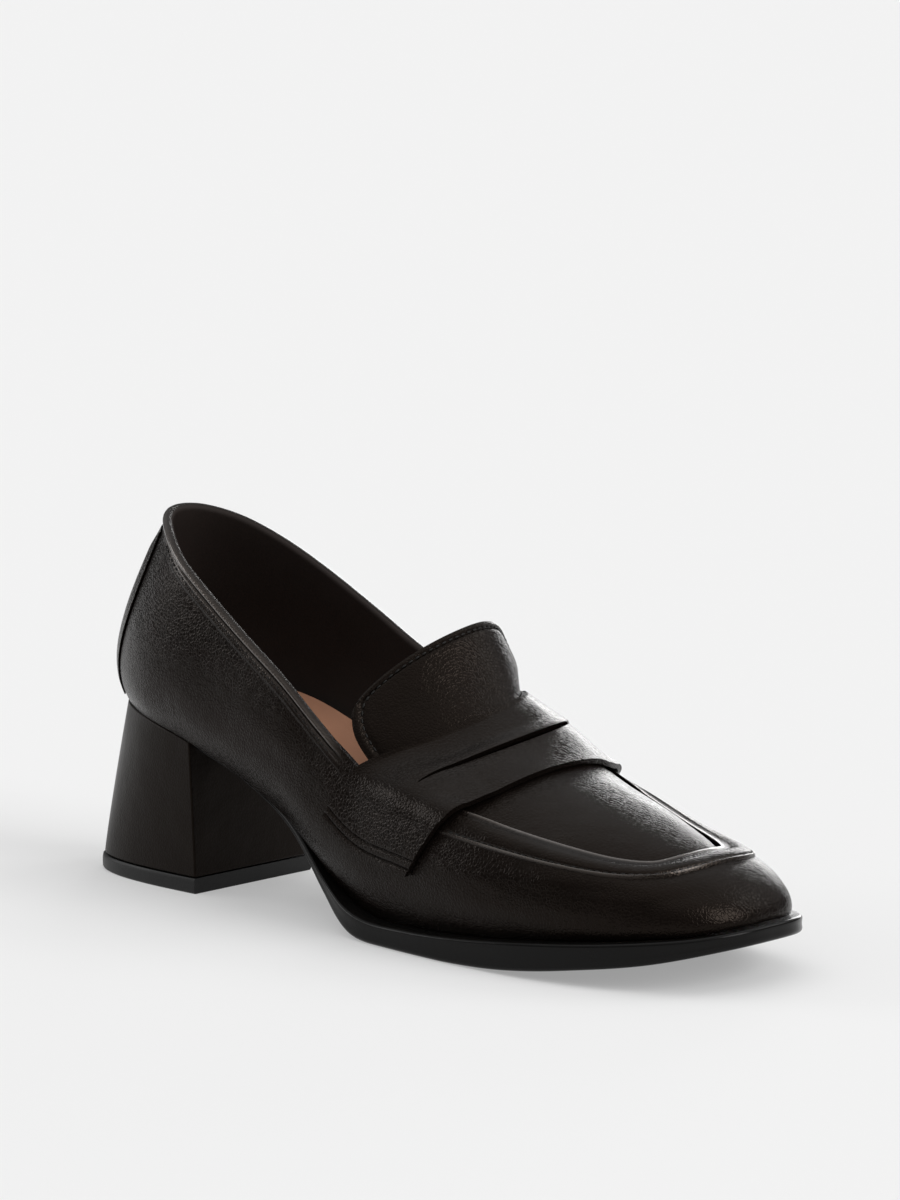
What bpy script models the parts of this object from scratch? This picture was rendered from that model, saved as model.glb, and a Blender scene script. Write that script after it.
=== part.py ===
# Loafer pump for the right foot: moccasin plug, saddle strap and covered block heel.
# Sizes are in millimetres: x runs from the heel to the toe, y to the shoe's left, z up.
import bmesh
import bpy
import numpy as np

MM = 0.001
UP = np.array([0.0, 0.0, 1.0])

# Driving sizes
GAP = 0.3                 # clearance between pieces that touch
STRAP_GAP = 0.45          # and under the strap, which lies over the ridge
UPPER_WALL = 1.9          # leather, interlining and lining
SHELL_LIMIT = 1.35        # most that an offset stretches at a fold
STRAP_WALL = 1.7
BACKSTAY_WALL = 1.0
INSOLE_HEIGHT = 2.6
INSOLE_INSET = 2.9
INSOLE_CUP_RIGHT, INSOLE_CUP_LEFT = 3.0, 7.0    # how far its edges turn up along the arch
INSOLE_LEAN = 0.45        # share of that by which they lean outwards
ARCH_START, ARCH_FULL, ARCH_FALL, ARCH_END = 7.5, 9.5, 11.5, 15.4    # stations of the turned-up edge
RIM_WIDTH = 2.6           # from the crest of the moccasin seam to the plug
RIM_DROP = 1.9            # the plug lies this much below the crest
RIM_RISE = 1.8            # and above the wall's edge where the strap covers it
SOLE_EDGE_BEVEL = 0.9
SOLE_TREAD_BEVEL = 1.2
BEVEL_SHARE = 0.3         # most of a thin sole's edge that a bevel takes
HEEL_BREAST_BASE = 46.3   # the heel's base: its breast, its back and half its width
HEEL_BACK_BASE = -7.8
HEEL_HALF_WIDTH = 24.5
HEEL_ROUND_BACK, HEEL_ROUND_SIDE = 0.72, 0.62    # powers of its D shape, lower is squarer
HEEL_FLARE = 1.1          # above 1 its sides spread more near the seat
HEEL_LEVELS = (0.0, 0.1, 0.3, 0.55, 0.8, 1.0)
HEEL_POINTS = 31
HEEL_COVER_INSET = 0.8    # the cover stands back from the top piece
TOP_PIECE_PROFILE = ((0.0, 0.8), (0.6, 0.0), (4.3, 0.3), (4.6, 0.8))    # height and inset of its edge

# Sections of the last, from the toe (0) round to the back of the heel (16).
# Each has a point on the feather line, a point on the top edge, and the handles of the wall between.
COLUMNS = (
    "feather_x", "feather_right", "feather_left", "feather_z_right", "feather_z_left",
    "top_x", "top_right", "top_left", "top_z_right", "top_z_left",
    "low_out", "low_up", "high_out", "high_down",
)
SECTIONS = (
    (243.0, 0.0, 0.0, 17.6, 17.6, 222.5, 0.0, 0.0, 33.2, 33.2, 2.0, 6.0, 8.0, 0.0),
    (241.6, 11.5, 10.5, 17.2, 17.2, 221.6, 9.5, 8.5, 32.8, 32.8, 2.0, 6.0, 8.0, 0.5),
    (235.0, 21.5, 19.5, 15.8, 15.8, 217.6, 18.0, 16.0, 32.0, 31.9, 2.5, 6.5, 8.0, 1.5),
    (224.0, 28.5, 26.0, 14.3, 14.3, 208.4, 24.8, 23.0, 32.8, 31.8, 3.0, 7.0, 8.0, 3.0),
    (208.0, 33.3, 30.5, 12.3, 12.3, 193.6, 29.2, 28.5, 35.0, 33.8, 4.0, 8.0, 7.5, 5.0),
    (188.0, 35.6, 33.5, 10.1, 10.1, 176.0, 31.8, 32.0, 37.8, 38.4, 5.0, 10.0, 7.0, 8.0),
    (167.0, 35.4, 32.5, 8.0, 8.0, 158.0, 33.5, 33.0, 41.0, 44.2, 5.5, 11.0, 6.0, 11.0),
    (146.0, 33.8, 29.5, 6.8, 6.8, 140.0, 32.5, 33.2, 43.8, 53.0, 6.0, 12.0, 5.0, 13.0),
    (126.0, 31.5, 25.0, 7.2, 8.5, 122.0, 30.5, 32.6, 46.8, 60.0, 7.0, 13.0, 4.0, 15.0),
    (107.0, 28.0, 22.5, 14.0, 16.5, 104.0, 29.5, 30.8, 58.5, 65.0, 8.0, 13.0, 3.0, 16.0),
    (86.0, 25.2, 21.5, 28.0, 31.0, 88.0, 29.0, 29.0, 70.6, 72.4, 8.5, 13.0, 2.5, 17.0),
    (64.0, 23.8, 22.0, 38.0, 40.5, 71.0, 27.5, 27.5, 80.8, 82.2, 8.5, 13.0, 2.5, 18.0),
    (43.0, 23.0, 22.8, 45.0, 46.0, 54.0, 25.0, 25.0, 90.8, 92.2, 8.5, 13.0, 3.0, 18.0),
    (24.0, 20.5, 20.5, 49.2, 49.6, 39.5, 21.5, 21.5, 99.0, 100.4, 8.5, 13.5, 4.6, 18.5),
    (10.5, 15.0, 15.0, 51.2, 51.3, 28.2, 15.5, 15.5, 105.6, 106.8, 8.2, 14.5, 6.4, 19.0),
    (1.5, 8.0, 8.0, 52.0, 52.0, 19.8, 8.0, 8.0, 109.8, 110.4, 7.8, 14.5, 8.6, 19.5),
    (-1.5, 0.0, 0.0, 52.3, 52.3, 16.8, 0.0, 0.0, 111.2, 111.2, 7.4, 14.5, 9.6, 19.5),
)
TOE_CORNER, THROAT, BREAST, BACK = 2, 8, 12, 16
ROUND = 2 * BACK

# Centre line of the plug from the toe to the throat: x, y, z
PLUG_CENTRE = (
    (222.5, 0.0, 33.2), (213.0, 0.5, 36.6), (198.0, 1.5, 41.6), (181.0, 2.0, 46.0),
    (166.0, 2.5, 50.0), (153.0, 3.0, 55.6), (142.5, 3.5, 61.2),
)
# Centre line and side edges of the tongue, half way up and at its free end: x, y, z
TONGUE_CENTRE = ((133.5, 4.5, 71.0), (124.5, 6.0, 83.8))
TONGUE_RIGHT = ((115.5, -28.0, 57.0), (110.0, -23.5, 67.5))
TONGUE_LEFT = ((121.5, 33.5, 69.0), (116.0, 32.0, 80.0))
TONGUE_SHOULDER = 0.40    # share of the tongue's length that its rounded end takes
TONGUE_SQUARE = 4         # power of the round, higher is squarer
TONGUE_START = 0.015      # share left free at the throat
TONGUE_PER_STATION = 0.6  # share of it that one station covers, for the strap over its root
CROWN_POWER = 2.2

# Relief near the wall's top edge: distance below it, on the vamp, on the collar's sides, at its back
EDGE_ROWS = (
    (0.0, 0.9, 0.8, 0.8),
    (1.3, 1.2, 1.0, 1.0),
    (2.7, 0.8, 0.9, 0.9),
    (3.3, 0.6, 0.45, 0.0),
    (5.7, 0.9, 0.45, 0.0),
    (6.4, 0.0, 0.0, 0.0),
)
LOWER_WALL_ROWS = 7

# How far the sole stands out from the feather line, and its tread: x and value
SOLE_LEDGE = (
    (-3.0, 0.0), (92.0, 0.3), (106.0, 3.0), (118.0, 5.2), (138.0, 5.6), (180.0, 4.8), (225.0, 3.8), (250.0, 2.6),
)
SOLE_TREAD = (
    (43.0, 43.2), (64.0, 36.0), (86.0, 25.0), (97.0, 16.8), (106.0, 9.6), (114.0, 4.2), (121.0, 1.1), (129.0, 0.0),
    (140.0, 0.0), (160.0, 0.0), (180.0, 0.9), (192.0, 2.2), (206.0, 4.3), (228.0, 8.0), (248.0, 13.0),
)

# The saddle strap: stations of its rear and front edge at the seam and at its low ends
STRAP_REAR_TOP, STRAP_REAR_LOW = 8.12, 8.72
STRAP_FRONT_TOP, STRAP_FRONT_LOW = 5.85, 6.85
STRAP_DROP_REAR, STRAP_DROP_FRONT = 0.48, 0.58    # share of the wall that its ends reach down
SLOT_LIP, SLOT_DEPTH, SLOT_HALF, SLOT_PROUD = 0.524, 0.06, 0.87, 1.0
RELIEF_KEPT, RELIEF_GONE = 5.1, 6.6    # the ridge fades out under the strap
STRAP_OVER_RIDGE = 1.7                    # and the strap rides over it
STRAP_LIFT_END = 10.0                     # down to this far below the seam
DRAPE_GONE, DRAPE_KEPT = 0.75, 1.1        # and inside it comes down to the plug
STRAP_DOWN = (1.0, 0.82, 0.64, 0.48, 0.34, 0.22, 0.12, 0.05, 0.0)    # its rows from the low end to the seam
SLOT_GAP = 0.02                           # least width of the slot
LIP_RUN = 0.4                             # share of the lip's height one row behind it
COLLAR_GONE, COLLAR_KEPT = 8.4, 8.8       # and the collar band starts behind it

BACKSTAY_HALF = 1.45      # stations from its middle to its edge
BACKSTAY_LOW, BACKSTAY_HIGH = 0.03, 0.915
BACKSTAY_WAIST = 0.82     # its ends are this much narrower

# Rows and columns of the meshes
PLUG_COLUMNS = 15
PLUG_ROWS = 17
COLLAR_STATIONS = 37
LIP_ROW, FRONT_ROWS = 4, 4    # of the strap: the row of the slot's lip, and the rows in front of the slot


def clear_scene():
    for old in list(bpy.data.objects):
        bpy.data.objects.remove(old, do_unlink=True)


def make_material(name, colour, roughness, metallic=0.0):
    material = bpy.data.materials.new(name)
    material.use_nodes = True
    shader = material.node_tree.nodes["Principled BSDF"]
    shader.inputs["Base Color"].default_value = (*colour, 1.0)
    shader.inputs["Roughness"].default_value = roughness
    shader.inputs["Metallic"].default_value = metallic
    return material


def curve_through(rows, place, closed=False):
    # Catmull-Rom curve through the rows; place runs in rows when closed, and from 0 to 1 when open
    rows = np.array(rows, float)
    count = len(rows)
    place = np.asarray(place, float)
    if closed:
        first = np.floor(place).astype(int)
        step = (place - first)[..., None]
        before, start, end, after = (rows[(first + k) % count] for k in (-1, 0, 1, 2))
    else:
        along = np.clip(place, 0.0, 1.0) * (count - 1)
        first = np.minimum(np.floor(along).astype(int), count - 2)
        step = (along - first)[..., None]
        start, end = rows[first], rows[first + 1]
        before = np.where((first > 0)[..., None], rows[np.maximum(first - 1, 0)], 2 * start - end)
        after = np.where((first < count - 2)[..., None], rows[np.minimum(first + 2, count - 1)], 2 * end - start)
    return 0.5 * (
        2 * start
        + (end - before) * step
        + (2 * before - 5 * start + 4 * end - after) * step**2
        + (3 * start - before - 3 * end + after) * step**3
    )


def value_at(rows, x):
    # Smooth value at x from rows of x and value
    rows = np.array(rows, float)
    x = np.clip(np.asarray(x, float), rows[0, 0], rows[-1, 0])
    first = np.clip(np.searchsorted(rows[:, 0], x) - 1, 0, len(rows) - 2)
    slope = np.gradient(rows[:, 1], rows[:, 0])
    width = rows[first + 1, 0] - rows[first, 0]
    step = (x - rows[first, 0]) / width
    return (
        (2 * step**3 - 3 * step**2 + 1) * rows[first, 1]
        + (step**3 - 2 * step**2 + step) * slope[first] * width
        + (3 * step**2 - 2 * step**3) * rows[first + 1, 1]
        + (step**3 - step**2) * slope[first + 1] * width
    )


def fade(value, gone, kept):
    return np.clip((np.asarray(value, float) - gone) / (kept - gone), 0.0, 1.0)


def ring_rows():
    # Right side from the toe to the back of the heel, then the left side back to the toe
    rows = []
    for index in range(ROUND):
        right = index <= BACK
        section = dict(zip(COLUMNS, SECTIONS[index if right else ROUND - index]))
        side, sign = ("right", -1.0) if right else ("left", 1.0)
        rows.append((
            section["feather_x"], sign * section["feather_" + side], section["feather_z_" + side],
            section["top_x"], sign * section["top_" + side], section["top_z_" + side],
            section["low_out"], section["low_up"], section["high_out"], section["high_down"],
        ))
    return rows


RING = ring_rows()


def feather(station):
    return curve_through(RING, station, closed=True)[..., 0:3]


def top_edge(station):
    return curve_through(RING, station, closed=True)[..., 3:6]


def outward(station):
    # Level direction away from the foot, square to the feather line
    station = np.asarray(station, float)
    along = feather(station + 0.02) - feather(station - 0.02)
    out = np.stack([-along[..., 1], along[..., 0], np.zeros_like(along[..., 0])], -1)
    return out / np.linalg.norm(out, axis=-1, keepdims=True)


def wall(station, height):
    # Side of the last: height 0 at the feather line, 1 at the top edge
    row = curve_through(RING, station, closed=True)
    out = outward(station)
    low, high = row[..., 0:3], row[..., 3:6]
    low_handle = low + out * row[..., 6:7] + UP * row[..., 7:8]
    high_handle = high + out * row[..., 8:9] - UP * row[..., 9:10]
    t = np.asarray(height, float)[..., None]
    return (1 - t)**3 * low + 3 * (1 - t)**2 * t * low_handle + 3 * (1 - t) * t**2 * high_handle + t**3 * high


def wall_length(station):
    heights = np.linspace(0.0, 1.0, 41)
    points = wall(np.full_like(heights, station), heights)
    steps = np.linalg.norm(np.diff(points, axis=0), axis=1)
    return heights, np.concatenate([[0.0], np.cumsum(steps)])


def wall_below(station, distances):
    # Points of one section at these distances below the top edge, measured along the wall
    heights, lengths = wall_length(station)
    t = np.interp(lengths[-1] - np.asarray(distances, float), lengths, heights)
    return wall(np.full_like(t, station), t)


def rim(station):
    # Border of the plug, inside the crest of the seam
    covered = fade(np.abs(station_from_toe(station)), RELIEF_KEPT, RELIEF_GONE)
    point = top_edge(station) - outward(station) * RIM_WIDTH
    point[..., 2] += RIM_RISE * covered - RIM_DROP * (1 - covered)
    return point


def station_from_toe(station):
    station = np.mod(np.asarray(station, float), ROUND)
    return np.where(station > BACK, station - ROUND, station)


def crowned(right, left, centre, across):
    # Row from right to left, raised to pass through its centre point
    share = ((1 + across) / 2)[..., None]
    bump = (1 - np.abs(across)**CROWN_POWER)[..., None]
    return right + (left - right) * share + (centre - (right + left) / 2) * bump


def plug(back, across):
    # Plug of the vamp: back 0 at the toe and 1 at the throat, across -1 at the right and 1 at the left
    back, across = np.broadcast_arrays(np.asarray(back, float), np.asarray(across, float))
    station = TOE_CORNER + (THROAT - TOE_CORNER) * back
    row = crowned(rim(station), rim(-station), curve_through(PLUG_CENTRE, back), across)
    # The first row follows the front of the seam
    corner = np.full_like(back, float(TOE_CORNER))
    first = crowned(rim(corner), rim(-corner), curve_through(PLUG_CENTRE, corner * 0), across)
    return row + (rim(-TOE_CORNER * across) - first) * ((1 - back)**5)[..., None]


def tongue(up, across):
    up, across = np.broadcast_arrays(np.asarray(up, float), np.asarray(across, float))
    lines = (
        (tuple(rim(THROAT)), *TONGUE_RIGHT), (tuple(rim(-THROAT)), *TONGUE_LEFT), (PLUG_CENTRE[-1], *TONGUE_CENTRE),
    )
    right, left, centre = (curve_through(line, up) for line in lines)
    return crowned(right, left, centre, across)


def edge_relief(station, below):
    # Height of the seam ridge and the collar band over the wall
    rows = np.array(EDGE_ROWS)
    ridge, side, back = (np.interp(below, rows[:, 0], rows[:, k]) for k in (1, 2, 3))
    place = np.abs(station_from_toe(station))
    on_ridge = 1 - fade(place, RELIEF_KEPT, RELIEF_GONE)
    on_collar = fade(place, COLLAR_GONE, COLLAR_KEPT)
    to_back = fade(place, BREAST, BREAST + 2)
    return ridge * on_ridge + (side * (1 - to_back) + back * to_back) * on_collar


def add_sheet(bm, points, low, high, skip=None):
    # Grid of faces through the points; low and high are distances along the normal of its two faces
    rows, columns = points.shape[:2]
    low_layer = bm.verts.layers.float["low"]
    high_layer = bm.verts.layers.float["high"]
    made = bmesh.ops.create_grid(bm, x_segments=columns - 1, y_segments=rows - 1, size=1.0)["verts"]
    grid = [made[row * columns:(row + 1) * columns] for row in range(rows)]
    for row in range(rows):
        for column in range(columns):
            vert = grid[row][column]
            vert.co = points[row, column]
            vert[low_layer] = low[row, column]
            vert[high_layer] = high[row, column]
    if skip is not None:
        doomed = []
        for row in range(rows - 1):
            for column in range(columns - 1):
                if skip(row, column):
                    corner = {grid[row][column], grid[row + 1][column + 1]}
                    doomed += [face for face in grid[row][column].link_faces if corner <= set(face.verts)]
        bmesh.ops.delete(bm, geom=doomed, context="FACES")


def new_sheets():
    bm = bmesh.new()
    bm.verts.layers.float.new("low")
    bm.verts.layers.float.new("high")
    return bm


def thicken(bm, up_hint, soften=4):
    # Turns the welded sheets into one closed solid between their low and high faces
    bmesh.ops.remove_doubles(bm, verts=bm.verts, dist=0.02)
    bmesh.ops.recalc_face_normals(bm, faces=bm.faces)
    bm.normal_update()
    test = max(bm.verts, key=lambda vert: vert.co.dot(up_hint))
    if test.normal.dot(up_hint) < 0:
        bmesh.ops.reverse_faces(bm, faces=bm.faces)
        bm.normal_update()
    low_layer, high_layer = bm.verts.layers.float["low"], bm.verts.layers.float["high"]
    soft = bm.copy()
    for _ in range(soften):
        bmesh.ops.smooth_vert(
            soft, verts=soft.verts, factor=0.5, use_axis_x=True, use_axis_y=True, use_axis_z=True,
        )
    soft.normal_update()
    places = {}
    for vert, smoothed in zip(bm.verts, soft.verts):
        stretch = min(vert.calc_shell_factor(), SHELL_LIMIT)
        inner = smoothed.normal if vert[low_layer] < 0 else vert.normal * stretch
        places[vert] = (vert.co + inner * vert[low_layer], vert.co + vert.normal * vert[high_layer] * stretch)
    soft.free()
    base = list(bm.verts)
    made = bmesh.ops.extrude_face_region(bm, geom=list(bm.faces), use_keep_orig=True)["geom"]
    copies = {vert.co.copy().freeze(): vert for vert in made if isinstance(vert, bmesh.types.BMVert)}
    for vert in base:
        copies[vert.co.copy().freeze()].co = places[vert][0]
    for vert in base:
        vert.co = places[vert][1]
    bmesh.ops.recalc_face_normals(bm, faces=bm.faces)


def finish(name, bm, material):
    for vert in bm.verts:
        vert.co *= MM
    mesh = bpy.data.meshes.new(name)
    bm.to_mesh(mesh)
    bm.free()
    mesh.shade_smooth()
    mesh.set_sharp_from_angle(angle=0.7)
    mesh.materials.append(material)
    made = bpy.data.objects.new(name, mesh)
    bpy.context.scene.collection.objects.link(made)
    return made


def loft(loops, caps=(True, True)):
    # Solid through loops of points
    bm = bmesh.new()
    rings = [[bm.verts.new(point) for point in loop] for loop in loops]
    edges = []
    for ring in rings:
        edges.append([bm.edges.new((ring[k - 1], ring[k])) for k in range(len(ring))])
    for near, far in zip(edges, edges[1:]):
        bmesh.ops.bridge_loops(bm, edges=near + far)
    for ring, wanted in ((rings[0], caps[0]), (rings[-1], caps[1])):
        if wanted:
            bm.faces.new(ring)
    bmesh.ops.recalc_face_normals(bm, faces=bm.faces)
    return bm


def ring_stations():
    toe = np.linspace(-TOE_CORNER, TOE_CORNER, PLUG_COLUMNS)
    side = np.linspace(TOE_CORNER, THROAT, PLUG_ROWS)
    collar = np.linspace(THROAT, ROUND - THROAT, COLLAR_STATIONS)
    other = np.linspace(ROUND - THROAT, ROUND - TOE_CORNER, PLUG_ROWS)
    return np.concatenate([toe[:-1], side[:-1], collar[:-1], other])


def make_upper(material):
    bm = new_sheets()
    below = np.array([row[0] for row in EDGE_ROWS])
    stations = ring_stations()
    points, high = [], []
    for station in stations:
        length = wall_length(station)[1][-1]
        lower = np.linspace(below[-1], length, LOWER_WALL_ROWS + 1)[1:]
        distances = np.concatenate([below, lower])
        points.append(wall_below(station, distances))
        high.append(edge_relief(station, np.minimum(distances, below[-1])))
    points, high = np.array(points), np.array(high)
    add_sheet(bm, points, np.full(high.shape, -UPPER_WALL), high)

    front = np.concatenate([stations[-PLUG_ROWS:], stations[1:PLUG_COLUMNS + PLUG_ROWS - 1]])
    crest = edge_relief(front, 0.0)
    strip = np.stack([top_edge(front), rim(front)], 1)
    add_sheet(bm, strip, np.full((len(front), 2), -UPPER_WALL), np.stack([crest, crest * 0], 1))

    back, across = np.meshgrid(np.linspace(0, 1, PLUG_ROWS), np.linspace(-1, 1, PLUG_COLUMNS), indexing="ij")
    flat = np.zeros(back.shape)
    add_sheet(bm, plug(back, across), flat - UPPER_WALL, flat)
    thicken(bm, UP)
    return finish("upper", bm, material)


def make_tongue(material, rows=9, columns=13):
    bm = new_sheets()
    across = np.linspace(-1, 1, columns)
    reach = 1 - TONGUE_SHOULDER + TONGUE_SHOULDER * (1 - np.abs(across)**TONGUE_SQUARE)**(1 / TONGUE_SQUARE)
    up = TONGUE_START + np.linspace(0, 1, rows)[:, None] * (reach - TONGUE_START)
    flat = np.zeros(up.shape)
    add_sheet(bm, tongue(up, np.broadcast_to(across, up.shape)), flat - UPPER_WALL, flat)
    thicken(bm, UP)
    return finish("tongue", bm, material)


def top_surface(station, across):
    # Plug, and beyond the throat the tongue
    station = np.asarray(station, float)
    on_plug = plug(np.clip((station - TOE_CORNER) / (THROAT - TOE_CORNER), 0, 1), across)
    on_tongue = tongue(np.clip((station - THROAT) * TONGUE_PER_STATION, 0, 1), across)
    return np.where((station > THROAT)[..., None], on_tongue, on_plug)


def strap_rows(across):
    # Shares from the rear edge to the front edge, with the slot in front of the lip's row
    depth = SLOT_GAP + SLOT_DEPTH * max(0.0, 1 - (across / SLOT_HALF)**2)
    return np.concatenate([np.linspace(0, SLOT_LIP, LIP_ROW + 1), np.linspace(SLOT_LIP + depth, 1, FRONT_ROWS)])


def make_saddle_strap(material):
    bm = new_sheets()
    across = np.linspace(-1, 1, PLUG_COLUMNS)
    columns, lifts = [], []
    for side in (1, -1):
        part, lift = [], []
        for share in STRAP_DOWN:
            rows = strap_rows(1.0)
            rear = STRAP_REAR_TOP + (STRAP_REAR_LOW - STRAP_REAR_TOP) * share
            front = STRAP_FRONT_TOP + (STRAP_FRONT_LOW - STRAP_FRONT_TOP) * share
            station = rear + (front - rear) * rows
            drop = share * (STRAP_DROP_REAR + (STRAP_DROP_FRONT - STRAP_DROP_REAR) * rows)
            part.append(wall(station * side, 1 - drop))
            below = [wall_length(place * side)[1][-1] * fall for place, fall in zip(station, drop)]
            on_ridge = 1 - fade(station, RELIEF_KEPT, RELIEF_GONE)
            lift.append(STRAP_OVER_RIDGE * on_ridge * (1 - fade(below, EDGE_ROWS[-1][0], STRAP_LIFT_END)))
        if side == 1:
            columns += part
            lifts += lift
            for place in across:
                rows = strap_rows(place)
                station = STRAP_REAR_TOP + (STRAP_FRONT_TOP - STRAP_REAR_TOP) * rows
                columns.append(top_surface(station, np.full_like(station, place)))
                proud = np.zeros(len(rows))
                proud[LIP_ROW] = SLOT_PROUD * max(0.0, 1 - (place / SLOT_HALF)**2)
                proud[LIP_ROW - 1] = LIP_RUN * proud[LIP_ROW]
                drape = STRAP_OVER_RIDGE * (1 - fade(station, RELIEF_KEPT, RELIEF_GONE))
                lifts.append(proud + drape * fade(abs(place), DRAPE_GONE, DRAPE_KEPT))
        else:
            columns += part[::-1]
            lifts += lift[::-1]
    points, low = np.array(columns), np.array(lifts) + STRAP_GAP
    first, count = len(STRAP_DOWN), len(across)

    def in_slot(column, row):
        middle = (column - first + 0.5) / (count - 1) * 2 - 1
        return row == LIP_ROW and abs(middle) < SLOT_HALF

    add_sheet(bm, points, low, low + STRAP_WALL, in_slot)
    thicken(bm, UP)
    return finish("saddle_strap", bm, material)


def make_backstay(material, rows=9, columns=9):
    bm = new_sheets()
    levels = np.linspace(BACKSTAY_LOW, BACKSTAY_HIGH, rows)
    height, place = np.meshgrid(levels, np.linspace(-1, 1, columns), indexing="ij")
    half = BACKSTAY_HALF * (BACKSTAY_WAIST + (1 - BACKSTAY_WAIST) * np.sin(np.pi * height))
    flat = np.zeros(height.shape)
    add_sheet(bm, wall(BACK + half * place, height), flat + GAP, flat + GAP + BACKSTAY_WALL)
    thicken(bm, (-1.0, 0.0, 0.0))
    return finish("backstay", bm, material)


def sole_section(station):
    # Loop round the sole at one station: top face, left edge, tread, right edge
    right, left = feather(station), feather(-station)
    ledge = value_at(SOLE_LEDGE, right[0])
    top_right, top_left = right + outward(station) * ledge, left + outward(-station) * ledge
    bottom = np.maximum(value_at(SOLE_TREAD, top_right[0]), 0.0)
    right_z, left_z = right[2] - GAP, left[2] - GAP
    top_bevel = min(SOLE_EDGE_BEVEL, BEVEL_SHARE * (right_z - bottom))
    tread_bevel = min(SOLE_TREAD_BEVEL, BEVEL_SHARE * (right_z - bottom))

    def edge(point, z, inset, station):
        moved = point - outward(station) * inset
        return (moved[0], moved[1], z)

    inner_right = edge(top_right, right_z, top_bevel, station)
    inner_left = edge(top_left, left_z, top_bevel, -station)
    tread_left = edge(top_left, bottom, tread_bevel, -station)
    tread_right = edge(top_right, bottom, tread_bevel, station)
    across = [np.array(inner_right) + (np.array(inner_left) - np.array(inner_right)) * k / 4 for k in range(5)]
    under = [np.array(tread_left) + (np.array(tread_right) - np.array(tread_left)) * k / 4 for k in range(5)]
    return [
        *across,
        (top_left[0], top_left[1], left_z - top_bevel), (top_left[0], top_left[1], bottom + tread_bevel),
        *under,
        (top_right[0], top_right[1], bottom + tread_bevel), (top_right[0], top_right[1], right_z - top_bevel),
    ]


def make_outsole(material):
    stations = np.concatenate([np.linspace(BREAST - 0.04, THROAT + 2, 9), np.linspace(THROAT + 1.75, 1.5, 27)])
    stations = np.concatenate([stations, [1.1, 0.8, 0.5, 0.25, 0.0]])
    bm = loft([sole_section(station) for station in stations], caps=(True, False))
    bmesh.ops.remove_doubles(bm, verts=bm.verts, dist=0.02)
    bmesh.ops.dissolve_degenerate(bm, edges=bm.edges, dist=0.01)
    bmesh.ops.recalc_face_normals(bm, faces=bm.faces)
    return finish("outsole", bm, material)


def heel_base(share, drop):
    # D-shaped outline of the heel: share 0 to 1 from the right of the breast, round the back
    angle = np.pi * share
    length = HEEL_BREAST_BASE - HEEL_BACK_BASE
    x = HEEL_BREAST_BASE - (length - drop) * np.abs(np.sin(angle))**HEEL_ROUND_BACK
    side = np.sign(np.cos(angle)) * np.abs(np.cos(angle))**HEEL_ROUND_SIDE
    return x, -(HEEL_HALF_WIDTH - drop / 2) * side


def make_heel_block(material):
    share = np.linspace(0, 1, HEEL_POINTS)
    stations = BREAST + (ROUND - 2 * BREAST) * share
    seat = feather(stations)
    seat[..., 2] -= GAP
    foot = TOP_PIECE_PROFILE[-1][0] + GAP
    base = np.stack([*heel_base(share, HEEL_COVER_INSET), np.full(HEEL_POINTS, foot)], -1)
    loops = []
    for height in HEEL_LEVELS:
        draw = height**HEEL_FLARE
        loops.append(base + (seat - base) * np.array([draw, draw, height]))
    bm = loft(loops)
    return finish("heel_block", bm, material)


def make_top_piece(material):
    share = np.linspace(0, 1, HEEL_POINTS)
    loops = []
    for z, drop in TOP_PIECE_PROFILE:
        loops.append(np.stack([*heel_base(share, drop), np.full(HEEL_POINTS, z)], -1))
    bm = loft(loops)
    return finish("top_piece", bm, material)


def make_insole(material):
    # The sock lies on the sole and the heel seat, and its edge turns up along the arch
    across = np.linspace(-1, 1, 7)
    stations = np.concatenate([[0.0, 0.4, 0.8, 1.4], np.linspace(2, 14, 22), [14.8, 15.4, 16.0]])
    top, bottom = [], []
    for station in stations:
        right = feather(station) - outward(station) * INSOLE_INSET
        left = feather(-station) - outward(-station) * INSOLE_INSET
        arch = fade(station, ARCH_START, ARCH_FULL) * (1 - fade(station, ARCH_FALL, ARCH_END))
        cup = arch * np.where(across < 0, INSOLE_CUP_RIGHT, INSOLE_CUP_LEFT) * np.abs(across)**3
        row = right + (left - right) * ((1 + across) / 2)[:, None]
        out = np.where((across < 0)[:, None], outward(station), outward(-station))
        bottom.append(row)
        top.append(row + out * INSOLE_LEAN * cup[:, None] + (INSOLE_HEIGHT + cup)[:, None] * UP)
    loops = [np.concatenate([high, low[::-1]]) for high, low in zip(top, bottom)]
    bm = loft(loops, caps=(False, False))
    bmesh.ops.remove_doubles(bm, verts=bm.verts, dist=0.02)
    bmesh.ops.dissolve_degenerate(bm, edges=bm.edges, dist=0.01)
    bmesh.ops.recalc_face_normals(bm, faces=bm.faces)
    return finish("insole", bm, material)


def stand_on_origin(objects):
    # The origin lies under the middle of the shoe
    frame = bpy.data.objects.new("shoe_frame", None)
    bpy.context.scene.collection.objects.link(frame)
    corners = np.array([vert.co for item in objects for vert in item.data.vertices])
    middle = (corners.min(0) + corners.max(0)) / 2
    frame.location = (-middle[0], -middle[1], 0.0)
    for item in objects:
        item.parent = frame


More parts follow.
